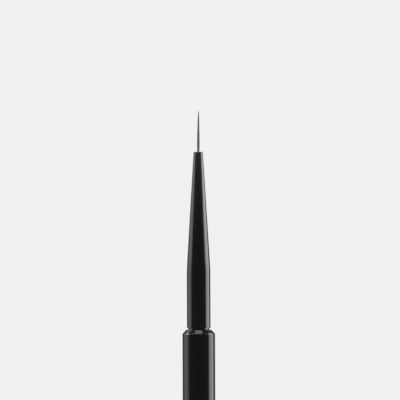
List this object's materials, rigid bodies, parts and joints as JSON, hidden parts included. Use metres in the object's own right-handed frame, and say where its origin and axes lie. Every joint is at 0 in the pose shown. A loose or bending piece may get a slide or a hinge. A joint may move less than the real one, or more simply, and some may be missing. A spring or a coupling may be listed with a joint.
{
  "type": "fine detail brush",
  "caption": "Fine detail brush with a hair-thin tuft set in a long tapered gloss black ferrule, which screws into a slim tube handle with a chamfered collar.",
  "frame": {"origin": "middle of the flat face at the handle's rear end, which the brush stands on", "axes": "+Z along the brush's axis, from the rear end to the hair tip; X and Y are equal by turned symmetry, and the tuft bends in the XZ plane"},
  "size_m": [0.007, 0.007, 0.1551],
  "materials": {
    "black_lacquer": "gloss",
    "black_anodised": "satin",
    "black_acetal": "gloss",
    "turned_brass": "satin",
    "drawn_steel": "satin",
    "brown_hair": "satin",
    "binding_thread": "matte",
    "cured_resin": "gloss"
  },
  "bodies": {
    "handle": {"handle_tube": "black_lacquer", "rear_plug": "black_lacquer", "threaded_bush": "black_anodised"},
    "washer": {"friction_washer": "black_acetal"},
    "head": {"threaded_stud": "turned_brass", "ferrule": "black_lacquer", "hair_tube": "drawn_steel", "hair_root": "brown_hair", "root_binding": "binding_thread", "root_resin": "cured_resin", "mouth_resin": "cured_resin"},
    "tuft": {"hair_tuft": "brown_hair"}
  },
  "joints": [
    {"name": "head_travel", "type": "slide", "parent": "handle", "child": "washer", "axis": [0, 0, 1], "range_m": [0, 0.005]},
    {"name": "head_turn", "type": "hinge", "parent": "washer", "child": "head", "pos_m": [0, 0, 0.10845], "axis": [0, 0, 1], "range_deg": [0, 3600]},
    {"name": "tuft_flex", "type": "hinge", "parent": "head", "child": "tuft", "pos_m": [0, 0, 0.14728], "axis": [0, 1, 0], "range_deg": [-35, 35], "stiffness_Nm_per_rad": 0.00003}
  ],
  "couplings": [
    {"joint": "head_turn", "follows": "head_travel", "rad_per_m": 12566}
  ]
}
